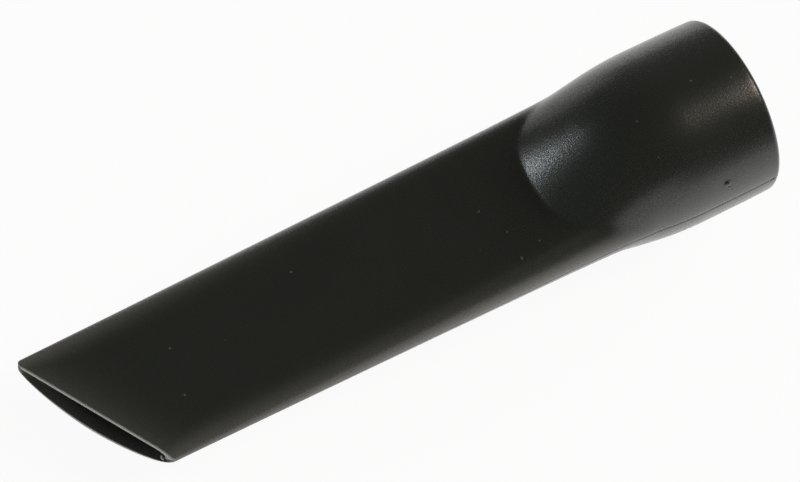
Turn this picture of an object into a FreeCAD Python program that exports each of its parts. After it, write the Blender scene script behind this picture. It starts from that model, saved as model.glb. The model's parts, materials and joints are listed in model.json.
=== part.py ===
import FreeCAD, Part
import math
import os

# Driving sizes, in millimetres and degrees

# Round socket that takes the wand
bore_diameter = 35.0
bore_depth = 26.0
socket_wall = 2.3
collar_length = 17.0
rim_round = 1.2
bore_lead_in = 0.8

# Small moulding pip on the near side of the socket
pip_station = 13.2
pip_angle = 18.0
pip_radius = 0.7
pip_height = 0.3

# Shoulder that falls from the socket to the flat body: first curved, then straight
shoulder_top_radius = 37.0
shoulder_top_slope = 35.0
shoulder_side_radius = 100.0
shoulder_side_slope = 7.0
shoulder_reach = 34.0
shoulder_stations = 9
crease_round = 2.0

# Root of the flat body, drawn in where it starts inside the shoulder
root_length = 5.0
root_tuck = 4.0

# Flat body at the neck, inside the shoulder
neck_station = 24.0
neck_half_width = 18.85
neck_parting_height = 0.8
neck_belly_depth = 14.1
neck_crown_height = 6.2
neck_edge_width = 5.6

# Flat body at the mouth, which slants across and leans out at its lower lip, its reach taken on the axis
mouth_reach = 149.1
mouth_slant = 29.0
mouth_lean = 5.45
mouth_half_width = 17.4
mouth_parting_height = -0.5
mouth_belly_depth = 8.85
mouth_crown_height = 0.6
mouth_edge_width = 3.0
lip_round = 0.5
lip_steps = 2

# Flat body's wall, thinning from the neck to the mouth, and the steps that its length is drawn in
neck_wall = 2.0
mouth_wall = 1.1
body_steps = 6

# Fullness of a rounded corner: that of a true ellipse, and that of the leaner belly
true_ellipse = math.sqrt(0.5)
lean_belly = 0.62

# How near an edge lies to the line where two forms meet
meeting_gap = 0.01

# Values that follow from the driving sizes
bore_radius = bore_diameter / 2
socket_radius = bore_radius + socket_wall
axis = FreeCAD.Vector(1, 0, 0)
rim_centre = FreeCAD.Vector(0, 0, 0)


def quarter(start, corner, end, fullness):
    """Returns a rounded corner that touches the legs start-corner and corner-end."""
    curve = Part.BezierCurve()
    curve.setPoles([start, corner, end])
    curve.setWeight(2, fullness)
    return curve.toShape()


def corners(x, slant, lean, half_width, parting, belly, crown, edge):
    """Returns the corners of the flat body's outline across the axis, from the near side over the top."""
    top = parting + crown
    low = parting - belly
    flat = half_width - edge
    plan = [(half_width, parting), (half_width, top), (flat, top), (-flat, top), (-half_width, top),
            (-half_width, parting), (-half_width, low), (0, low), (half_width, low)]
    across = math.tan(math.radians(slant))
    down = math.tan(math.radians(lean))
    return [FreeCAD.Vector(x - y * across - z * down, y, z) for y, z in plan]


def outline(points):
    """Returns the flat body's outline from its corners: level top, rounded edges, lean rounded belly."""
    near, near_edge, near_top, far_top, far_edge, far, far_low, keel, near_low = points
    return Part.Wire([
        quarter(near, near_edge, near_top, true_ellipse),
        Part.LineSegment(near_top, far_top).toShape(),
        quarter(far_top, far_edge, far, true_ellipse),
        quarter(far, far_low, keel, lean_belly),
        quarter(keel, near_low, near, lean_belly),
    ])


def run(neck, mouth, start):
    """Returns outlines on straight lines from the neck to the mouth, begun at a share of the way."""
    shares = [start + (1 - start) * step / body_steps for step in range(body_steps + 1)]
    return [outline([a + (b - a) * share for a, b in zip(neck, mouth)]) for share in shares]


def oval(x, half_width, half_height):
    """Returns an oval outline across the axis."""
    near, far = FreeCAD.Vector(x, half_width, 0), FreeCAD.Vector(x, -half_width, 0)
    crown, keel = FreeCAD.Vector(x, 0, half_height), FreeCAD.Vector(x, 0, -half_height)
    return Part.Wire([
        quarter(near, FreeCAD.Vector(x, half_width, half_height), crown, true_ellipse),
        quarter(crown, FreeCAD.Vector(x, -half_width, half_height), far, true_ellipse),
        quarter(far, FreeCAD.Vector(x, -half_width, -half_height), keel, true_ellipse),
        quarter(keel, FreeCAD.Vector(x, half_width, -half_height), near, true_ellipse),
    ])


def fall(along, radius, slope):
    """Returns the drop of a line that curves down from level and then runs on at a slope."""
    slope = math.radians(slope)
    curved = min(along, radius * math.sin(slope))
    return radius - math.sqrt(radius ** 2 - curved ** 2) + (along - curved) * math.tan(slope)


def shoulder(inset, ruled):
    """Returns the shoulder, drawn in from its outside by inset, smooth or in straight steps."""
    outlines = []
    for station in range(shoulder_stations):
        along = shoulder_reach * station / (shoulder_stations - 1)
        half_width = socket_radius - inset - fall(along, shoulder_side_radius, shoulder_side_slope)
        half_height = socket_radius - inset - fall(along, shoulder_top_radius, shoulder_top_slope)
        outlines.append(oval(collar_length + along, half_width, half_height))
    return Part.makeLoft(outlines, True, ruled)


# Outside: socket with a rounded rim, shoulder and flat body in one
collar = Part.makeCylinder(socket_radius, collar_length, rim_centre, axis)
collar = collar.makeFillet(rim_round, [edge for edge in collar.Edges if edge.BoundBox.XMax < rim_round])
neck = corners(neck_station, 0, 0, neck_half_width, neck_parting_height, neck_belly_depth,
               neck_crown_height, neck_edge_width)
mouth = corners(mouth_reach, mouth_slant, mouth_lean, mouth_half_width, mouth_parting_height,
                mouth_belly_depth, mouth_crown_height, mouth_edge_width)
root = corners(neck_station - root_length, 0, 0, neck_half_width - root_tuck, neck_parting_height,
               neck_belly_depth - root_tuck, neck_crown_height - root_tuck, neck_edge_width - root_tuck)
past_shoulder = (collar_length + shoulder_reach + crease_round - neck_station) / (mouth_reach - neck_station)
outlines = [outline(root), outline(neck)] + run(neck, mouth, past_shoulder)
for step in range(1, lip_steps + 1):
    turn = math.radians(90) * step / lip_steps
    inset = lip_round * (1 - math.cos(turn))
    lip = corners(mouth_reach + lip_round * math.sin(turn), mouth_slant, mouth_lean,
                  mouth_half_width - inset, mouth_parting_height - inset, mouth_belly_depth - 2 * inset,
                  mouth_crown_height, mouth_edge_width)
    outlines.append(outline(lip))
body = Part.makeLoft(outlines, True, True)
dome = shoulder(0, False)
outside = collar.fuse(dome).fuse(body)

# Soft crease where the shoulder runs into the body
meeting = dome.section(body)
crease = []
for edge in outside.Edges:
    middle = edge.valueAt((edge.FirstParameter + edge.LastParameter) / 2)
    if meeting.distToShape(Part.Vertex(middle))[0] < meeting_gap:
        crease.append(edge)
outside = outside.makeFillet(crease_round, crease)

# Inside: bore with a lead-in, tapering throat and flat duct, run out past the mouth
bore = Part.makeCylinder(bore_radius, bore_depth, rim_centre, axis)
lead_in = Part.makeCone(bore_radius + bore_lead_in, bore_radius, bore_lead_in, rim_centre, axis)
duct = Part.makeLoft(run(
    corners(neck_station, 0, 0, neck_half_width - neck_wall, neck_parting_height,
            neck_belly_depth - neck_wall, neck_crown_height - neck_wall, neck_edge_width - neck_wall),
    corners(mouth_reach + 2 * lip_round, mouth_slant, mouth_lean, mouth_half_width - mouth_wall,
            mouth_parting_height - mouth_wall, mouth_belly_depth - 2 * mouth_wall,
            mouth_crown_height, mouth_edge_width - mouth_wall),
    0), True, True)
inside = bore.fuse(lead_in).fuse(shoulder(socket_wall, True)).fuse(duct)
tool = outside.cut(inside)

# Moulding pip
pip = Part.makeSphere(pip_radius, FreeCAD.Vector(pip_station, socket_radius + pip_height - pip_radius, 0))
pip.rotate(rim_centre, axis, pip_angle)
tool = tool.fuse(pip.cut(inside))

# Lying at rest on the shoulder's underside and the lower lip, mouth towards -X
keel = FreeCAD.Vector(mouth[7])
reach = keel.x - collar_length
rise = shoulder_top_radius - socket_radius - keel.z
touch_angle = math.asin(shoulder_top_radius / math.hypot(reach, rise))
rest_tilt = math.degrees(touch_angle - math.atan2(rise, reach))
tool.rotate(rim_centre, FreeCAD.Vector(0, 1, 0), rest_tilt)
tool.rotate(rim_centre, FreeCAD.Vector(0, 0, 1), 180)
box = tool.optimalBoundingBox(False)
tool.translate(FreeCAD.Vector(-box.Center.x, -box.Center.y, -box.ZMin))

os.makedirs("parts", exist_ok=True)
tool.exportStep("parts/crevice_tool.step")
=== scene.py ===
import json
import logging
import math
from dataclasses import dataclass, field, replace
from enum import Enum

import bpy
import numpy as np
from mathutils import Matrix, Vector


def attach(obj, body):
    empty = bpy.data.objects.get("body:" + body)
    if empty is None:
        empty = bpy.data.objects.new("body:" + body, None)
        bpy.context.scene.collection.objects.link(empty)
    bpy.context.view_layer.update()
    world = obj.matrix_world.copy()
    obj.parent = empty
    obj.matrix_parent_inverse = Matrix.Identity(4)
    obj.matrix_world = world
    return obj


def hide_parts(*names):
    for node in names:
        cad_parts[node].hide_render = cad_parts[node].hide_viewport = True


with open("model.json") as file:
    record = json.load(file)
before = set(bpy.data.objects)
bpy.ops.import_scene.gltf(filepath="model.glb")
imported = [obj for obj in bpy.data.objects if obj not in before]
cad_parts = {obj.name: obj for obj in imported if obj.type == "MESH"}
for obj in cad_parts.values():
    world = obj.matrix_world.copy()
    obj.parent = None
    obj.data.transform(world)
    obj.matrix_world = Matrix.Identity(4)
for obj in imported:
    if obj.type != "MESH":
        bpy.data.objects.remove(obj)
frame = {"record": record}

Array = np.ndarray
Triple = tuple[float, float, float]
Colour = tuple[float, float, float, float]
Face = tuple[int, ...]

MM = 0.001
NODE = "crevice_tool"
BODY = "root"
SHELL = "crevice_tool_shell"
# Point attribute with the share of the painted highlight, a paler colour along edges and lip
PAINTED_HIGHLIGHT = "painted_highlight"
AXIS = np.array((1.0, 0.0, 0.0))
TRUE_ELLIPSE = math.sqrt(0.5)
NOISE_MIDDLE = 0.5
WHITE: Colour = (1.0, 1.0, 1.0, 1.0)
# Places of a Mix node's sockets for colours
MIX_SHARE, MIX_FIRST, MIX_SECOND, MIX_RESULT = 0, 6, 7, 2
LOG = logging.getLogger("crevice_tool_scene")


class Side(Enum):
    """Which half of a section runs from one parting line to the other."""

    UPPER = "upper"
    LOWER = "lower"


class Finish(Enum):
    """Names of the finishes in the scene."""

    PLASTIC = "black_moulded_plastic"
    FLOOR = "pale_floor"


def smooth_step(value: Array | float, start: float, end: float) -> Array | float:
    """Share that eases from 0 to 1 as a value goes from a start to an end."""
    share = np.clip((value - start) / (end - start), 0.0, 1.0)
    return share * share * (3.0 - 2.0 * share)


def conic(start: Array, corner: Array, end: Array, fullness: float, count: int) -> Array:
    """Points on a rounded corner that touches both of its legs.

    Args:
        start: First point.
        corner: Point where the legs meet.
        end: Last point.
        fullness: How far the curve fills the corner, the root of a half for an ellipse.
        count: Number of points, the last one left out.

    Returns:
        The points, one to a row.
    """
    t = np.linspace(0.0, 1.0, count, endpoint=False)[:, None]
    first, middle, last = (1 - t) ** 2, 2 * fullness * t * (1 - t), t ** 2
    return (first * start + middle * corner + last * end) / (first + middle + last)


def polar_section(angles: Array, radius: Array | float) -> Array:
    """Points across the axis at a distance in each direction."""
    return np.column_stack([np.cos(angles), np.sin(angles)]) * np.reshape(radius, (-1, 1))


def polar_radius(section: Array, angles: Array) -> Array:
    """Distance from the axis to a section.

    Args:
        section: Points of a closed outline round the axis.
        angles: Directions round the axis.

    Returns:
        The distance in each direction.
    """
    turn = np.arctan2(section[:, 1], section[:, 0])
    order = np.argsort(turn)
    return np.interp(angles, turn[order], np.hypot(*section[order].T), period=2 * math.pi)


def even_stations(start: float, end: float, step: float) -> Array:
    """Even stations from a start to an end, about a step apart, the start left out."""
    count = max(1, round(abs(end - start) / step))
    return np.linspace(start, end, count + 1)[1:]


def pick(values: Array, places: Array) -> Array:
    """Values at fractional positions of a closed list.

    Args:
        values: Values, one row or number to a point.
        places: Positions with fractions.

    Returns:
        The values between neighbours.
    """
    low = np.floor(places).astype(int)
    part = places - low
    first, second = values[low % len(values)], values[(low + 1) % len(values)]
    part = part[:, None] if values.ndim > 1 else part
    return first + (second - first) * part


def add_object(name: str, data: bpy.types.ID) -> bpy.types.Object:
    """Put a new object into the scene.

    Args:
        name: The object's name.
        data: Its mesh, lamp or camera.

    Returns:
        The object.
    """
    made = bpy.data.objects.new(name, data)
    bpy.context.scene.collection.objects.link(made)
    return made


@dataclass(frozen=True)
class SocketSizes:
    """Sizes of the round socket, in millimetres."""

    bore_radius: float = 17.5
    bore_depth: float = 26.0
    wall: float = 2.3
    collar_length: float = 17.0
    rim_round: float = 1.2
    rim_draw_in: float = 0.15
    draw_in_length: float = 9.0
    lead_in: float = 0.8

    @property
    def radius(self) -> float:
        """Outer radius of the collar."""
        return self.bore_radius + self.wall


@dataclass(frozen=True)
class FallLine:
    """A line that curves down from level and then runs on in a much flatter curve.

    The slope, in degrees, is where the flatter curve takes over.
    """

    radius: float
    slope: float
    late_radius: float

    def drop(self, along: float) -> float:
        """How far the line has come down.

        Args:
            along: Distance along the axis.

        Returns:
            The drop.
        """
        rise = math.sin(math.radians(self.slope))
        curved = min(along, self.radius * rise)
        early = self.radius - math.sqrt(self.radius ** 2 - curved ** 2)
        late = rise + (along - curved) / self.late_radius
        return early + self.late_radius * (math.sqrt(1 - rise ** 2) - math.sqrt(1 - late ** 2))


@dataclass(frozen=True)
class ShoulderSizes:
    """Sizes of the shoulder that falls from the socket to the flat body, and of its crease.

    The crease's softness grows and fades between stations on the axis.
    """

    top: FallLine = FallLine(radius=37.0, slope=32.5, late_radius=170.0)
    side: FallLine = FallLine(radius=100.0, slope=7.0, late_radius=2000.0)
    reach: float = 34.0
    crease_softness: float = 0.3
    duct_crease_softness: float = 0.1
    crease_start: float = 27.0
    crease_full: float = 32.0
    crease_fade: float = 46.0


@dataclass(frozen=True)
class SectionSizes:
    """Sizes of the flat body's section at one end.

    The near side may stand in, with its widest point dropped and its upper edge broader, and
    the belly's corners may be tucked in on both sides.
    """

    half_width: float
    parting_height: float
    belly_depth: float
    crown_height: float
    edge_width: float
    near_inset: float = 0.0
    near_drop: float = 0.0
    near_edge: float = 0.0
    near_tuck: float = 0.0
    far_tuck: float = 0.0

    def shrunk(self, wall: float) -> "SectionSizes":
        """Section drawn in on all sides, its parting line where it was.

        Args:
            wall: How far it is drawn in.

        Returns:
            The smaller section.
        """
        return replace(
            self,
            half_width=self.half_width - wall,
            belly_depth=self.belly_depth - wall,
            crown_height=self.crown_height - wall,
            edge_width=self.edge_width - wall,
        )

    def lowered(self, wall: float, edge: float) -> "SectionSizes":
        """Section drawn in on all sides, its parting line lowered and its crown as high.

        Args:
            wall: How far it is drawn in.
            edge: How far the rounded upper edges narrow.

        Returns:
            The smaller section.
        """
        return replace(
            self,
            half_width=self.half_width - wall,
            parting_height=self.parting_height - wall,
            belly_depth=self.belly_depth - 2 * wall,
            edge_width=self.edge_width - edge,
        )


@dataclass(frozen=True)
class BodySizes:
    """Sizes of the flat body from the neck to the slanted mouth, which leans out at its lip."""

    neck_station: float = 24.0
    neck: SectionSizes = SectionSizes(
        half_width=18.85,
        parting_height=0.8,
        belly_depth=14.1,
        crown_height=6.2,
        edge_width=5.6,
    )
    mouth_reach: float = 149.1
    mouth_slant: float = 29.0
    mouth_lean: float = 6.9
    mouth: SectionSizes = SectionSizes(
        half_width=17.4,
        parting_height=-0.5,
        belly_depth=8.85,
        crown_height=0.6,
        edge_width=3.0,
        near_inset=0.5,
        near_drop=1.4,
        near_edge=0.9,
        near_tuck=2.5,
        far_tuck=3.5,
    )
    lean_belly: float = 0.62
    neck_wall: float = 2.0
    mouth_wall: float = 1.1
    lip_round: float = 0.5
    inner_lip_round: float = 0.2
    near_corner_round: float = 0.9
    far_corner_round: float = 0.7

    def mouth_plane(self, reach: float, y: Array | float, z: Array | float) -> Array | float:
        """Stations on a plane that slants and leans as the mouth does.

        Args:
            reach: Where the plane crosses the axis.
            y: Places across the tool.
            z: Heights.

        Returns:
            The station at each place.
        """
        slant = math.tan(math.radians(self.mouth_slant))
        lean = math.tan(math.radians(self.mouth_lean))
        return reach - y * slant - z * lean


@dataclass(frozen=True)
class SeamSizes:
    """Sizes of the parting seam and of its notch at the rim."""

    half_width: float = 0.16
    depth: float = 0.1
    notch_depth: float = 0.9
    notch_length: float = 1.8
    notch_half_width: float = 0.34


@dataclass(frozen=True)
class MarkSizes:
    """Sizes of the moulding pip, the dash beside it and the scraps of flash at the mouth.

    Angles are in degrees round the axis, up from the near side. The scraps' places are across
    the mouth and up.
    """

    pip_station: float = 13.2
    pip_angle: float = 18.0
    pip_radius: float = 0.8
    pip_height: float = 0.42
    dash_station: float = 12.86
    dash_angle: float = 14.8
    dash_length: float = 0.9
    dash_width: float = 0.34
    dash_height: float = 0.14
    flash_places: tuple[tuple[float, float], ...] = ((15.1, -2.4), (14.2, -3.6))
    flash_half_sizes: Triple = (0.45, 0.6, 0.5)
    # Share of the painted highlight that the flash scraps carry, as the lip does
    flash_highlight: float = 0.65


@dataclass(frozen=True)
class PaintedHighlightSizes:
    """How far, and by what share, the painted highlight, a paler colour, spreads from edges and
    lip.

    Along the body's long edges it grows between two stations.
    """

    edge_spread: float = 3.8
    edge_share: float = 0.5
    edge_start: float = 28.0
    edge_full: float = 48.0
    mouth_spread: float = 3.5
    mouth_share: float = 0.2
    lip_share: float = 1.0


@dataclass(frozen=True)
class Fineness:
    """How finely the shell is drawn: points round it, steps along it and its sharp angle."""

    upper_points: int = 118
    lower_points: int = 96
    curve_points: int = 160
    polar_points: int = 2160
    rim_steps: int = 8
    lip_steps: int = 7
    bead_steps: int = 10
    collar_step: float = 1.0
    shoulder_step: float = 0.55
    crease_step: float = 0.28
    body_step: float = 2.2
    duct_step: float = 3.0
    throat_step: float = 0.9
    bore_step: float = 4.0
    sharp_angle: float = 40.0


@dataclass
class Pose:
    """Where the tool lies: its axis frame set into the shared frame from the socket's mount."""

    origin: Array
    basis: Array

    @classmethod
    def from_mount(cls, record: dict, lead_in: float) -> "Pose":
        """Read the socket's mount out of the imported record.

        Args:
            record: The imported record.
            lead_in: Length of the lead-in before the bore, in millimetres.

        Returns:
            The pose whose X runs from the rim to the mouth, Y to the near side and Z up.
        """
        mount = record["mounts"][0]
        outward = np.array(mount["axis"], float)
        outward /= np.linalg.norm(outward)
        middle = np.array(mount["pos_m"], float)
        rim = middle + outward * (mount["dims"]["length_mm"] / 2 + lead_in) * MM
        near = np.array((0.0, -1.0, 0.0))
        return cls(rim, np.stack([-outward, near, np.cross(-outward, near)]))

    def place(self, points: Triple | Array) -> Array:
        """Points in millimetres on the tool's axis, as metres in the shared frame."""
        return self.origin + (np.asarray(points, float) * MM) @ self.basis

    def turn(self, direction: Triple | Array) -> Vector:
        """A direction on the tool's axis, as one in the shared frame."""
        return Vector(np.asarray(direction, float) @ self.basis)


class BodyCurve:
    """The flat body's straight lines from the neck's outline to the mouth's, wall or duct."""

    def __init__(
        self, sizes: BodySizes, neck: SectionSizes, mouth: SectionSizes, reach: float, count: int
    ) -> None:
        """Sample both outlines at the same places.

        Args:
            sizes: Sizes of the flat body.
            neck: Section at the neck.
            mouth: Section at the mouth.
            reach: Where the mouth's plane crosses the axis.
            count: Points on each rounded corner and on the level top.
        """
        self.sizes = sizes
        self.neck = self.outline(neck, count)
        self.mouth = self.outline(mouth, count)
        # The far parting line comes after the near corner, the level top and the far corner
        self.far_index = 3 * count
        y, z = self.mouth.T
        self.mouth_x = sizes.mouth_plane(reach, y, z)
        self.trim = self.corner_trim(y, mouth)

    def outline(self, section: SectionSizes, count: int) -> Array:
        """Outline from the near parting line over the level top, the far side and the belly.

        Args:
            section: Sizes of the section.
            count: Points on each rounded corner and on the level top.

        Returns:
            The points across the axis, one to a row.
        """
        wide, part = section.half_width, section.parting_height
        top, low = part + section.crown_height, part - section.belly_depth
        flat, near_wide = wide - section.edge_width, wide - section.near_inset
        near_flat = flat - section.near_inset - section.near_edge
        near, near_edge, near_top, far_top, far_edge, far, far_low, keel, near_low = np.array([
            (near_wide, part - section.near_drop), (near_wide, top), (near_flat, top),
            (-flat, top), (-wide, top), (-wide, part),
            (section.far_tuck - wide, low), (0.0, low), (near_wide - section.near_tuck, low),
        ])
        lean = self.sizes.lean_belly
        share = np.linspace(0.0, 1.0, count, endpoint=False)[:, None]
        return np.concatenate([
            conic(near, near_edge, near_top, TRUE_ELLIPSE, count),
            near_top + (far_top - near_top) * share,
            conic(far_top, far_edge, far, TRUE_ELLIPSE, count),
            conic(far, far_low, keel, lean, count),
            conic(keel, near_low, near, lean, count),
        ])

    def corner_trim(self, y: Array, mouth: SectionSizes) -> Array:
        """How much the mouth's two corners are rounded off, seen from above.

        Args:
            y: Place across the mouth.
            mouth: Sizes of the mouth's section.

        Returns:
            The length taken off at each place.
        """
        angle = math.radians(self.sizes.mouth_slant)
        trim = np.zeros_like(y)
        for side, radius, half_width in (
            (1.0, self.sizes.near_corner_round, mouth.half_width - mouth.near_inset),
            (-1.0, self.sizes.far_corner_round, mouth.half_width),
        ):
            centre = side * (half_width - radius)
            touch = centre + radius * math.sin(angle)
            rounded = y > touch if side > 0 else y < touch
            line = radius / math.cos(angle) - (y - centre) * math.tan(angle)
            arc = np.sqrt(np.clip(radius ** 2 - (y - centre) ** 2, 0.0, None))
            trim = np.where(rounded, line - arc, trim)
        return trim

    def at(self, x: Array | float) -> Array:
        """Section at one station, or at a station for each of its points."""
        share = (x - self.sizes.neck_station) / (self.mouth_x - self.sizes.neck_station)
        return self.neck + (self.mouth - self.neck) * share[:, None]

    def along(self, start: float, share: float) -> tuple[Array, Array]:
        """Stations and points of the section part of the way from a station to the mouth."""
        x = start + share * (self.mouth_x - self.trim - start)
        return x, self.at(x)


@dataclass(frozen=True)
class Ring:
    """Rings of points round the shell that all start on the near parting line."""

    fine: Fineness
    seam: SeamSizes

    @property
    def size(self) -> int:
        """Number of points in a ring."""
        return self.fine.upper_points + self.fine.lower_points + 2

    @property
    def far(self) -> int:
        """Index of the point on the far parting line."""
        return self.fine.upper_points + 1

    def places(self, length: float, side: Side) -> Array:
        """Places along one half of a ring, close together beside the seam.

        Args:
            length: Length of that half.
            side: Which half.

        Returns:
            Distances from its start, the end left out.
        """
        count = self.fine.upper_points if side is Side.UPPER else self.fine.lower_points
        edge = self.seam.half_width
        return np.concatenate([[0.0], np.linspace(edge, length - edge, count)])

    def spread(self, curve: Array, far_index: int) -> Array:
        """Even places on a closed curve, as positions in its list of points.

        Args:
            curve: Points that start on the near parting line.
            far_index: Index of the point on the far parting line.

        Returns:
            Positions in the list, with fractions.
        """
        closed = np.vstack([curve, curve[:1]])
        steps = np.linalg.norm(np.diff(closed, axis=0), axis=1)
        run = np.concatenate([[0.0], np.cumsum(steps)])
        upper, total = run[far_index], run[-1]
        wanted = np.concatenate([
            self.places(upper, Side.UPPER),
            upper + self.places(total - upper, Side.LOWER),
        ])
        return np.interp(wanted, run, np.arange(len(run)))


@dataclass
class ShellMesh:
    """Rings of the shell's points as they are drawn, with how much each ring is lip, the share of
    the lip's painted highlight.
    """

    rings: list[Array] = field(default_factory=list)
    lip: list[float] = field(default_factory=list)

    def add(self, x: Array | float, section: Array, lip: float = 0.0) -> None:
        """Add a ring.

        Args:
            x: Station of each point, or one for all.
            section: Points across the axis.
            lip: Share of the lip's painted highlight.
        """
        stations = np.broadcast_to(np.asarray(x, float), (len(section),))
        self.rings.append(np.column_stack([stations, section]))
        self.lip.append(lip)

    def faces(self) -> list[Face]:
        """Four-cornered faces between neighbouring rings, the last one joined to the first.

        Returns:
            The faces, as places in the list of all points.
        """
        rings, count = len(self.rings), len(self.rings[0])
        grid = np.arange(rings * count).reshape(rings, count)
        after = np.roll(grid, -1, axis=0)
        corners = [grid, np.roll(grid, -1, axis=1), np.roll(after, -1, axis=1), after]
        return [tuple(face) for face in np.stack(corners, axis=-1).reshape(-1, 4).tolist()]


@dataclass(frozen=True)
class Bead:
    """A small rounded bead of plastic that stands on the surface.

    Its axes are three directions, one to a row, with a half size along each.
    """

    centre: Array
    axes: Array
    half_sizes: Triple
    # Share of the painted highlight, a paler colour, on the bead
    painted_highlight: float = 0.0

    def points(self, steps: int) -> Array:
        """Points from the lower pole, row by row, to the upper pole.

        Args:
            steps: Steps from pole to pole.

        Returns:
            The points on the tool's axis.
        """
        around = 2 * steps
        unit = [(0.0, 0.0, -1.0)]
        for row in range(1, steps):
            tilt = math.pi * row / steps - math.pi / 2
            level = math.cos(tilt)
            for column in range(around):
                turn = 2 * math.pi * column / around
                unit.append((level * math.cos(turn), level * math.sin(turn), math.sin(tilt)))
        unit.append((0.0, 0.0, 1.0))
        return self.centre + (np.array(unit) * self.half_sizes) @ self.axes

    @staticmethod
    def faces(steps: int, start: int) -> list[Face]:
        """Faces between a bead's points.

        Args:
            steps: Steps from pole to pole.
            start: Place of the lower pole in the list of all points.

        Returns:
            The faces, as places in that list.
        """
        around = 2 * steps
        first, last = start + 1, start + 1 + (steps - 1) * around
        faces: list[Face] = []
        for column in range(around):
            after = (column + 1) % around
            faces.append((start, first + after, first + column))
            faces.append((last, last - around + column, last - around + after))
            for low in range(first, last - around, around):
                high = low + around
                faces.append((low + column, low + after, high + after, high + column))
        return faces


@dataclass
class CreviceTool:
    """The one-piece crevice tool: socket, shoulder, flat body, slanted mouth and moulding marks."""

    pose: Pose
    socket: SocketSizes = SocketSizes()
    shoulder: ShoulderSizes = ShoulderSizes()
    body: BodySizes = BodySizes()
    seam: SeamSizes = SeamSizes()
    mark: MarkSizes = MarkSizes()
    # Where the painted highlight spreads on the outside
    highlight_paint: PaintedHighlightSizes = PaintedHighlightSizes()
    fine: Fineness = Fineness()

    def __post_init__(self) -> None:
        """Work out the curves of the wall and the duct, and where the shoulder ends."""
        body, count = self.body, self.fine.curve_points
        self.ring = Ring(self.fine, self.seam)
        self.wall = BodyCurve(body, body.neck, body.mouth, body.mouth_reach, count)
        duct_neck = body.neck.shrunk(body.neck_wall)
        duct_mouth = body.mouth.lowered(body.mouth_wall, body.mouth_wall)
        duct_reach = body.mouth_reach + body.lip_round
        self.duct = BodyCurve(body, duct_neck, duct_mouth, duct_reach, count)
        self.end_of_shoulder = self.socket.collar_length + self.shoulder.reach
        self.body_run = body.mouth_reach - self.end_of_shoulder

    def oval_radius(self, x: float, inset: float, angles: Array) -> Array:
        """Distance from the axis to the shoulder's oval.

        Args:
            x: Station.
            inset: How far the oval is drawn in.
            angles: Directions round the axis, 0 at the near side.

        Returns:
            The distance in each direction.
        """
        along = max(x - self.socket.collar_length, 0.0)
        outer = self.socket.radius - inset
        wide = outer - self.shoulder.side.drop(along)
        high = outer - self.shoulder.top.drop(along)
        return 1.0 / np.hypot(np.cos(angles) / wide, np.sin(angles) / high)

    def joined(self, x: float, curve: BodyCurve, inset: float, softness: float) -> Array:
        """Section where shoulder and flat body are one, with a soft crease.

        Args:
            x: Station.
            curve: The flat body's wall or duct.
            inset: How far the shoulder is drawn in.
            softness: Softness of the crease, in millimetres.

        Returns:
            A ring of points across the axis.
        """
        share = smooth_step(x, self.socket.collar_length, self.end_of_shoulder)
        flank = curve.at(x)
        near_side, far_side = flank[0], flank[curve.far_index]
        near = math.atan2(share * near_side[1], near_side[0])
        far = math.pi - math.atan2(share * far_side[1], -far_side[0])
        half = self.fine.polar_points // 2
        upper = np.linspace(near, far, half, endpoint=False)
        lower = np.linspace(far, 2 * math.pi + near, half, endpoint=False)
        angles = np.concatenate([upper, lower])
        dome = self.oval_radius(x, inset, angles)
        flat = polar_radius(flank, angles)
        ease = smooth_step(x, self.shoulder.crease_start, self.shoulder.crease_full)
        ease *= 1.0 - smooth_step(x, self.shoulder.crease_fade, self.end_of_shoulder)
        blend = (dome + flat) / 2 + np.hypot((dome - flat) / 2, softness * ease)
        section = polar_section(angles, blend if x > self.body.neck_station else dome)
        return pick(section, self.ring.spread(section, half))

    def collar_radius(self, x: float) -> float:
        """Outer radius of the collar, drawn in a little towards the rim."""
        share = max(0.0, 1.0 - x / self.socket.draw_in_length)
        return self.socket.radius - self.socket.rim_draw_in * share ** 2

    def circle(self, radius: float) -> Array:
        """Section of a round stretch.

        Args:
            radius: Its radius.

        Returns:
            A ring of points across the axis.
        """
        count = self.fine.polar_points
        angles = np.linspace(0.0, 2 * math.pi, count, endpoint=False)
        section = polar_section(angles, radius)
        return pick(section, self.ring.spread(section, count // 2))

    def add_along(
        self, shell: ShellMesh, curve: BodyCurve, share: float, places: Array, lip: float = 0.0
    ) -> None:
        """Add a ring part of the way from the shoulder's end to the mouth, at places on it."""
        x, section = curve.along(self.end_of_shoulder, share)
        shell.add(pick(x, places), pick(section, places), lip)

    def outside(self, shell: ShellMesh) -> None:
        """Rings of the rim, collar, shoulder, flat body and lip, from the rim to the mouth.

        Args:
            shell: Mesh that the rings go to.
        """
        socket, shoulder, fine = self.socket, self.shoulder, self.fine
        for step in range(fine.rim_steps + 1):
            turn = math.pi / 2 * step / fine.rim_steps
            drop = socket.rim_round * (1 - math.sin(turn))
            x = socket.rim_round * (1 - math.cos(turn))
            shell.add(x, self.circle(self.collar_radius(x) - drop))
        for x in even_stations(socket.rim_round, socket.collar_length, fine.collar_step):
            shell.add(x, self.circle(self.collar_radius(x)))
        for start, end, spacing in (
            (socket.collar_length, shoulder.crease_start, fine.shoulder_step),
            (shoulder.crease_start, self.end_of_shoulder, fine.crease_step),
        ):
            for x in even_stations(start, end, spacing):
                shell.add(x, self.joined(x, self.wall, 0.0, shoulder.crease_softness))
        places = self.ring.spread(self.wall.at(self.end_of_shoulder), self.wall.far_index)
        for share in even_stations(0.0, 1.0, fine.body_step / self.body_run):
            self.add_along(shell, self.wall, share, places)
        self.lip(shell, places)

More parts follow.
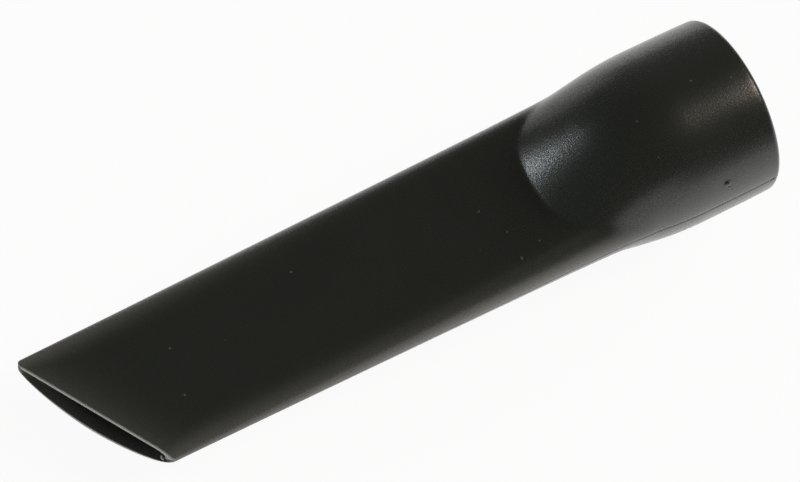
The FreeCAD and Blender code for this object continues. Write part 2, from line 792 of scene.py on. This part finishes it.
    def lip(self, shell: ShellMesh, places: Array) -> None:
        """Rounded outer lip, end face and small inner round of the mouth.

        Args:
            shell: Mesh that the rings go to.
            places: Positions of the ring's points on the body's outline.
        """
        body, steps, count = self.body, self.fine.lip_steps, self.fine.curve_points
        # The outer round's rings take on the lip's painted highlight, and the inner round's give it
        # up again
        for step in range(1, steps + 1):
            turn = math.pi / 2 * step / steps
            inset = body.lip_round * (1 - math.cos(turn))
            reach = body.mouth_reach + body.lip_round * math.sin(turn)
            curve = BodyCurve(body, body.neck, body.mouth.lowered(inset, 0.0), reach, count)
            self.add_along(shell, curve, 1.0, places, step / steps)
        for step in range(steps + 1):
            turn = math.pi / 2 * step / steps
            inset = body.mouth_wall - body.inner_lip_round * (1 - math.sin(turn))
            back = body.inner_lip_round * (1 - math.cos(turn))
            reach = body.mouth_reach + body.lip_round - back
            curve = BodyCurve(body, body.neck, body.mouth.lowered(inset, inset), reach, count)
            self.add_along(shell, curve, 1.0, places, 1.0 - step / steps)

    def inside(self, shell: ShellMesh) -> None:
        """Rings of the duct, throat, ledge, bore and lead-in, from the mouth back to the rim.

        Args:
            shell: Mesh that the rings go to.
        """
        socket, fine = self.socket, self.fine
        places = self.ring.spread(self.duct.at(self.end_of_shoulder), self.duct.far_index)
        for share in reversed(even_stations(0.0, 1.0, fine.duct_step / self.body_run)[:-1]):
            self.add_along(shell, self.duct, share, places)
        softness = self.shoulder.duct_crease_softness
        for x in even_stations(self.end_of_shoulder, socket.bore_depth, fine.throat_step):
            shell.add(x, self.joined(x, self.duct, socket.wall, softness))
        shell.add(socket.bore_depth, self.circle(socket.bore_radius))
        for x in even_stations(socket.bore_depth, socket.lead_in, fine.bore_step):
            shell.add(x, self.circle(socket.bore_radius))
        shell.add(0.0, self.circle(socket.bore_radius + socket.lead_in))

    def painted_highlight(self, ring: Array) -> Array:
        """How much painted highlight an outer ring gets along the body's long edges and towards the
        lip.

        Args:
            ring: Points of the ring on the tool's axis.

        Returns:
            The share of the painted highlight at each point.
        """
        highlight_paint, body = self.highlight_paint, self.body
        steps = np.linalg.norm(np.roll(ring, -1, axis=0) - ring, axis=1)
        run = np.cumsum(steps) - steps
        from_near = np.minimum(run, steps.sum() - run)
        from_edge = np.minimum(from_near, np.abs(run - run[self.ring.far]))
        x, y, z = ring.T
        from_mouth = np.clip(body.mouth_plane(body.mouth_reach, y, z) - x, 0.0, None)
        # Painted highlight: paler along the long edges and near the mouth
        edges = highlight_paint.edge_share * np.exp(-(from_edge / highlight_paint.edge_spread) ** 2)
        edges *= smooth_step(x, highlight_paint.edge_start, highlight_paint.edge_full)
        return np.maximum(edges, highlight_paint.mouth_share * np.exp(-from_mouth / highlight_paint.mouth_spread))

    def cut_seam(self, rings: list[Array]) -> None:
        """Press the parting seam and its wider notch at the rim into the outside.

        The notch goes no deeper than its own depth below the collar, so that it stays clear of
        the bore's lead-in.

        Args:
            rings: Rings of the outside, which are changed.
        """
        seam = self.seam
        for ring in rings:
            for index, side in ((0, -1.0), (self.ring.far, 1.0)):
                x, y = ring[index, :2]
                notch = 1.0 - smooth_step(x, seam.notch_length / 2, seam.notch_length)
                depth = seam.depth + (seam.notch_depth - seam.depth) * notch
                rim_drop = self.collar_radius(x) - abs(y) if x < self.socket.rim_round else 0.0
                ring[index, 1] += side * max(depth - rim_drop, 0.0)
                widen = (seam.notch_half_width - seam.half_width) * notch
                ring[index - 1, 2] += side * widen
                ring[index + 1, 2] -= side * widen

    def marks(self) -> list[Bead]:
        """Beads of the moulding pip, the short dash beside it and the scraps of flash.

        Returns:
            The beads.
        """
        mark, beads = self.mark, []
        dash_sizes = (mark.dash_length / 2, mark.dash_width / 2, mark.dash_height)
        for station, angle, half_sizes in (
            (mark.pip_station, mark.pip_angle, (mark.pip_radius, mark.pip_radius, mark.pip_height)),
            (mark.dash_station, mark.dash_angle, dash_sizes),
        ):
            turn = math.radians(angle)
            out = np.array((0.0, math.cos(turn), math.sin(turn)))
            axes = np.stack([AXIS, np.cross(out, AXIS), out])
            beads.append(Bead(station * AXIS + out * self.socket.radius, axes, half_sizes))
        for y, z in mark.flash_places:
            centre = np.array((self.body.mouth_plane(self.body.mouth_reach, y, z), y, z))
            beads.append(Bead(centre, np.eye(3), mark.flash_half_sizes, mark.flash_highlight))
        return beads

    def draw(self) -> tuple[Array, list[Face], Array]:
        """Draw the shell with its seam and beads.

        Returns:
            Points on the tool's axis, faces, and the share of the painted highlight at each point.
        """
        shell = ShellMesh()
        self.outside(shell)
        outer = shell.rings[:]
        self.inside(shell)
        # Painted highlight: the lip's share, raised to the outer rings' share along edges and mouth
        painted_highlight = np.repeat(shell.lip, self.ring.size) * self.highlight_paint.lip_share
        outer_highlight = np.concatenate([self.painted_highlight(ring) for ring in outer])
        painted_highlight[:len(outer_highlight)] = np.maximum(painted_highlight[:len(outer_highlight)], outer_highlight)
        self.cut_seam(outer)
        points, faces = np.concatenate(shell.rings), shell.faces()
        for bead in self.marks():
            bead_points = bead.points(self.fine.bead_steps)
            faces += bead.faces(self.fine.bead_steps, len(points))
            points = np.vstack([points, bead_points])
            # Each bead brings its own share of the painted highlight
            painted_highlight = np.concatenate([painted_highlight, np.full(len(bead_points), bead.painted_highlight)])
        return points, faces, painted_highlight

    def build(self) -> bpy.types.Object:
        """Make the shell's mesh in the shared frame.

        Returns:
            The shell as an object.
        """
        points, faces, painted_highlight = self.draw()
        mesh = bpy.data.meshes.new(SHELL)
        mesh.from_pydata(self.pose.place(points).tolist(), [], faces)
        mesh.shade_smooth()
        mesh.set_sharp_from_angle(angle=math.radians(self.fine.sharp_angle))
        # Share of the painted highlight at each point, read by the material
        attribute = mesh.attributes.new(PAINTED_HIGHLIGHT, "FLOAT", "POINT")
        attribute.data.foreach_set("value", painted_highlight.astype(np.float32))
        mesh.validate()
        return add_object(SHELL, mesh)

    def dress(self, shell: bpy.types.Object, plastic: "BlackPlastic") -> None:
        """Give the shell its finish and its place in the frame.

        Args:
            shell: The shell.
            plastic: Its finish.
        """
        shell.data.materials.append(plastic.make())
        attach(shell, BODY)
        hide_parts(NODE)


class Value:
    """A shader socket that takes part in Python sums, each adding its own node."""

    def __init__(self, graph: "Graph", socket: bpy.types.NodeSocket) -> None:
        """Wrap a socket of a graph."""
        self.graph = graph
        self.socket = socket

    def combine(self, operation: str, other: "Value | float", flipped: bool = False) -> "Value":
        """Result of a Math node on this value and another, which comes first where flipped."""
        first, second = (other, self) if flipped else (self, other)
        return self.graph.node("ShaderNodeMath", {"operation": operation}, {0: first, 1: second})

    def __add__(self, other: "Value | float") -> "Value":
        """Sum of two values."""
        return self.combine("ADD", other)

    def __radd__(self, other: float) -> "Value":
        """Sum of a number and this value."""
        return self.combine("ADD", other, flipped=True)

    def __sub__(self, other: "Value | float") -> "Value":
        """Difference of two values."""
        return self.combine("SUBTRACT", other)

    def __rsub__(self, other: float) -> "Value":
        """Difference of a number and this value."""
        return self.combine("SUBTRACT", other, flipped=True)

    def __mul__(self, other: "Value | float") -> "Value":
        """Product of two values."""
        return self.combine("MULTIPLY", other)

    def __rmul__(self, other: float) -> "Value":
        """Product of a number and this value."""
        return self.combine("MULTIPLY", other, flipped=True)

    def __abs__(self) -> "Value":
        """This value without its sign."""
        return self.graph.node("ShaderNodeMath", {"operation": "ABSOLUTE"}, {0: self})


class Graph:
    """A node tree that grows one node at a time."""

    def __init__(self, tree: bpy.types.NodeTree) -> None:
        """Start from an empty tree."""
        tree.nodes.clear()
        self.tree = tree

    def node(
        self,
        kind: str,
        settings: dict[str, object] | None = None,
        inputs: dict[str | int, object] | None = None,
        output: str | int = 0,
    ) -> Value:
        """Add a node.

        Args:
            kind: The node's type.
            settings: Its own settings, set first; stops are those of a ramp.
            inputs: Values or links of its sockets.
            output: Socket that is handed back.

        Returns:
            The wrapped output, empty for a node that has none.
        """
        made = self.tree.nodes.new(kind)
        for name, setting in (settings or {}).items():
            if name == "stops":
                self.set_stops(made, setting)
            else:
                setattr(made, name, setting)
        for name, entry in (inputs or {}).items():
            if isinstance(entry, Value):
                self.tree.links.new(entry.socket, made.inputs[name])
            else:
                made.inputs[name].default_value = entry
        return Value(self, made.outputs[output] if len(made.outputs) else None)

    @staticmethod
    def set_stops(ramp: bpy.types.Node, stops: list[tuple[float, float]]) -> None:
        """Set the two stops of a grey ramp.

        Args:
            ramp: The ramp node.
            stops: Pairs of place and brightness.
        """
        for element, (place, grey) in zip(ramp.color_ramp.elements, stops):
            element.position = place
            element.color = (grey, grey, grey, 1.0)

    def ramp(self, value: Value, stops: list[tuple[float, float]]) -> Value:
        """Grey ramp of a value."""
        return self.node("ShaderNodeValToRGB", {"stops": stops}, {0: value})

    def noise(self, place: Value, scale: float, detail: float, roughness: float = 0.5) -> Value:
        """Noise from 0 to 1 over a place, its scale in grains to the metre."""
        inputs = {"Vector": place, "Scale": scale, "Detail": detail, "Roughness": roughness}
        return self.node("ShaderNodeTexNoise", {"noise_dimensions": "3D"}, inputs)

    def mix(self, share: Value, first: Value | Colour, second: Value | Colour) -> Value:
        """Mix of two colours by the share of the second."""
        inputs = {MIX_SHARE: share, MIX_FIRST: first, MIX_SECOND: second}
        return self.node("ShaderNodeMix", {"data_type": "RGBA"}, inputs, output=MIX_RESULT)


def new_material(finish: Finish) -> tuple[bpy.types.Material, Graph]:
    """Start a material.

    Args:
        finish: Which finish it is for.

    Returns:
        The material and the empty graph of its nodes.
    """
    material = bpy.data.materials.new(finish.value)
    material.use_nodes = True
    return material, Graph(material.node_tree)


@dataclass(frozen=True)
class BlackPlastic:
    """Black moulded plastic with a fine spark grain, a soft sheen, dust, and a painted highlight in
    a paler colour along the long edges and the lip.

    Scales are in grains to the metre. Clouds, grain and dust each change the roughness a little.
    """

    base: Colour = (0.0185, 0.0204, 0.0164, 1.0)
    cloud: Colour = (0.0230, 0.0248, 0.0204, 1.0)
    dust: Colour = (0.22, 0.21, 0.19, 1.0)
    # Paler colour of the painted highlight on edges, lip and flash
    highlight_paint: Colour = (0.180, 0.175, 0.155, 1.0)
    roughness: float = 0.28
    refraction: float = 1.8
    sheen: float = 0.18
    sheen_roughness: float = 0.35
    grain_scale: float = 2600.0
    grain_detail: float = 2.0
    grain_fine_share: float = 0.6
    grain_depth: float = 0.00006
    grain_strength: float = 0.5
    grain_roughness: float = 0.12
    cloud_scale: float = 55.0
    cloud_detail: float = 3.0
    cloud_roughness: float = 0.08
    dust_scale: float = 1000.0
    dust_start: float = 0.875
    dust_full: float = 0.90
    dust_cover: float = 0.4
    dust_roughness: float = 0.3

    def make(self) -> bpy.types.Material:
        """Build the material.

        Returns:
            The finished material.
        """
        material, graph = new_material(Finish.PLASTIC)
        place = graph.node("ShaderNodeTexCoord", output="Object")
        painted_highlight = graph.node("ShaderNodeAttribute", {"attribute_name": PAINTED_HIGHLIGHT}, output="Fac")
        grain = graph.noise(place, self.grain_scale, self.grain_detail, self.grain_fine_share)
        clouds = graph.noise(place, self.cloud_scale, self.cloud_detail)
        specks = graph.noise(place, self.dust_scale, detail=0.0)
        specks = graph.ramp(specks, [(self.dust_start, 0.0), (self.dust_full, 1.0)])
        colour = graph.mix(clouds, self.base, self.cloud)
        # Painted highlight: the paler colour mixed in by the share on the points
        colour = graph.mix(painted_highlight, colour, self.highlight_paint)
        colour = graph.mix(specks * self.dust_cover, colour, self.dust)
        rough = self.roughness + (clouds - NOISE_MIDDLE) * self.cloud_roughness
        rough = rough + (grain - NOISE_MIDDLE) * self.grain_roughness
        rough = rough + specks * self.dust_roughness
        bump = graph.node("ShaderNodeBump", inputs={
            "Strength": self.grain_strength,
            "Distance": self.grain_depth,
            "Height": grain,
        })
        shader = graph.node("ShaderNodeBsdfPrincipled", inputs={
            "Base Color": colour,
            "Roughness": rough,
            "Normal": bump,
            "IOR": self.refraction,
            "Sheen Weight": self.sheen,
            "Sheen Roughness": self.sheen_roughness,
        })
        graph.node("ShaderNodeOutputMaterial", inputs={"Surface": shader})
        return material


@dataclass(frozen=True)
class PaleFloor:
    """Plain pale floor, white where it is seen, that keeps the tool's soft shadow.

    In the gloss of the tool its white fades out to both sides, between two distances in metres.
    """

    name: str = "floor"
    colour: Colour = (0.9, 0.9, 0.9, 1.0)
    roughness: float = 0.9
    white_share: float = 0.93
    half_size: float = 0.5
    pool_start: float = 0.03
    pool_end: float = 0.11

    def make(self) -> bpy.types.Material:
        """Build the floor's material.

        Returns:
            The finished material.
        """
        material, graph = new_material(Finish.FLOOR)
        plain = graph.node("ShaderNodeBsdfPrincipled", inputs={
            "Base Color": self.colour,
            "Roughness": self.roughness,
        })
        white = graph.node("ShaderNodeEmission", inputs={"Color": WHITE, "Strength": 1.0})
        camera = graph.node("ShaderNodeLightPath", output="Is Camera Ray")
        glossy = graph.node("ShaderNodeLightPath", output="Is Glossy Ray")
        place = graph.node("ShaderNodeTexCoord", output="Object")
        across = graph.node("ShaderNodeSeparateXYZ", inputs={0: place}, output="Y")
        pool = graph.ramp(abs(across), [(self.pool_start, 1.0), (self.pool_end, 0.0)])
        share = (camera + glossy * pool) * self.white_share
        shader = graph.node("ShaderNodeMixShader", inputs={0: share, 1: plain, 2: white})
        graph.node("ShaderNodeOutputMaterial", inputs={"Surface": shader})
        return material

    def build(self) -> bpy.types.Object:
        """Lay the floor.

        Returns:
            The floor.
        """
        low, high = -self.half_size, self.half_size
        corners = [(low, low, 0.0), (high, low, 0.0), (high, high, 0.0), (low, high, 0.0)]
        mesh = bpy.data.meshes.new(self.name)
        mesh.from_pydata(corners, [], [(0, 1, 2, 3)])
        mesh.materials.append(self.make())
        floor = add_object(self.name, mesh)
        return floor


@dataclass(frozen=True)
class Softbox:
    """A soft lamp that looks at a station on the tool's axis, in millimetres from the rim.

    The direction is taken on that axis: rim to mouth, near side, up. Distance and size are in
    metres. A lamp that isn't mirrored lights the tool without showing in its gloss.
    """

    name: str
    direction: Triple
    distance: float
    size: tuple[float, float]
    power: float
    colour: Triple = (1.0, 1.0, 1.0)
    station: float = 75.0
    mirrored: bool = True

    def hang(self, pose: Pose) -> bpy.types.Object:
        """Hang the lamp.

        Args:
            pose: Where the tool lies.

        Returns:
            The lamp.
        """
        data = bpy.data.lights.new(self.name, "AREA")
        data.shape = "RECTANGLE"
        data.size, data.size_y = self.size
        data.energy = self.power
        data.color = self.colour
        lamp = add_object(self.name, data)
        towards = pose.turn(self.direction).normalized()
        lamp.location = Vector(pose.place(self.station * AXIS)) + towards * self.distance
        lamp.rotation_euler = towards.to_track_quat("Z", "Y").to_euler()
        lamp.visible_glossy = self.mirrored
        return lamp


@dataclass(frozen=True)
class Studio:
    """Camera, lamps and world of the photograph's setting.

    The camera's target, distance and shifts are in millimetres on the tool's axis, its turns in
    degrees, its lens in millimetres and its clip range in metres. The world's haze is added to
    its sky at the horizon and ends at a height.
    """

    target: Triple = (75.0, 0.0, 0.0)
    distance: float = 600.0
    along_share: float = 0.237387
    roll_round_axis: float = 25.3249
    roll_in_picture: float = 25.5944
    shift_right: float = 4.3168
    shift_down: float = 2.4849
    lens: float = 131.27
    clip: tuple[float, float] = (0.01, 100.0)
    sky: float = 0.02
    haze: float = 0.12
    haze_height: float = 0.25
    lamps: tuple[Softbox, ...] = (
        Softbox("window_softbox", (0.70, -0.57, 0.43), 1.0, (0.10, 0.14), 0.9, (0.88, 0.95, 1.0)),
        Softbox("mouth_softbox", (0.95, 0.15, 0.27), 1.0, (0.25, 0.25), 6.0, mirrored=False),
        Softbox("room_softbox", (-0.66, 0.23, 0.71), 1.0, (0.26, 0.26), 1.7, (1.0, 0.88, 0.74)),
        Softbox("back_softbox", (-0.94, 0.0, 0.34), 1.2, (1.0, 0.6), 15.0, mirrored=False),
        Softbox("near_strip", (0.0, 0.99, 0.13), 0.27, (0.14, 0.08), 0.016, station=52.0),
        Softbox("far_strip", (0.0, -0.99, 0.13), 0.27, (0.14, 0.08), 0.012, station=68.0),
        Softbox("near_softbox", (0.0, 0.99, 0.05), 1.0, (0.5, 0.3), 1.0, mirrored=False),
        Softbox("far_softbox", (0.0, -0.99, 0.05), 1.0, (0.5, 0.3), 3.5, mirrored=False),
    )

    def aim(self, pose: Pose) -> bpy.types.Object:
        """Set up the camera at the photograph's viewing angle.

        Args:
            pose: Where the tool lies.

        Returns:
            The camera.
        """
        level = math.sqrt(1 - self.along_share ** 2)
        roll = math.radians(self.roll_round_axis)
        turn = math.radians(self.roll_in_picture)
        back = np.array((self.along_share, level * math.sin(roll), level * math.cos(roll)))
        along = (AXIS - self.along_share * back) / level
        across = np.array((0.0, math.cos(roll), -math.sin(roll)))
        right = -math.cos(turn) * along + math.sin(turn) * across
        down = math.sin(turn) * along + math.cos(turn) * across
        centre = np.array(self.target) + self.distance * back
        centre = centre - right * self.shift_right - down * self.shift_down
        data = bpy.data.cameras.new("camera")
        data.lens = self.lens
        data.clip_start, data.clip_end = self.clip
        camera = add_object("camera", data)
        facing = Matrix([pose.turn(right), pose.turn(-down), pose.turn(back)]).transposed()
        camera.matrix_world = Matrix.Translation(Vector(pose.place(centre))) @ facing.to_4x4()
        bpy.context.scene.camera = camera
        return camera

    def light(self, pose: Pose) -> None:
        """Hang the lamps and set the world, white where the camera looks past the floor.

        Args:
            pose: Where the tool lies.
        """
        for softbox in self.lamps:
            lamp = softbox.hang(pose)
            LOG.info("%s hung", lamp.name)
        world = bpy.data.worlds.new("studio")
        world.use_nodes = True
        bpy.context.scene.world = world
        graph = Graph(world.node_tree)
        seen = graph.node("ShaderNodeLightPath", output="Is Camera Ray")
        direction = graph.node("ShaderNodeTexCoord", output="Generated")
        height = graph.node("ShaderNodeSeparateXYZ", inputs={0: direction}, output="Z")
        level = self.sky + graph.ramp(height, [(0.0, self.haze), (self.haze_height, 0.0)])
        shader = graph.node("ShaderNodeBackground", inputs={
            "Color": WHITE,
            "Strength": level * (1.0 - seen) + seen,
        })
        graph.node("ShaderNodeOutputWorld", inputs={"Surface": shader})
        bpy.context.scene.view_settings.view_transform = "Standard"


def main() -> None:
    """Build the tool, its finish and its studio, and log each piece."""
    logging.basicConfig(level=logging.INFO, format="%(message)s")
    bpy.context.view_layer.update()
    pose = Pose.from_mount(frame["record"], SocketSizes().lead_in)
    studio = Studio()
    camera = studio.aim(pose)
    LOG.info("%s aimed", camera.name)
    tool = CreviceTool(pose)
    shell = tool.build()
    tool.dress(shell, BlackPlastic())
    LOG.info("%s: %d faces", shell.name, len(shell.data.polygons))
    floor = PaleFloor().build()
    LOG.info("%s laid", floor.name)
    studio.light(pose)


if __name__ == "__main__":
    main()
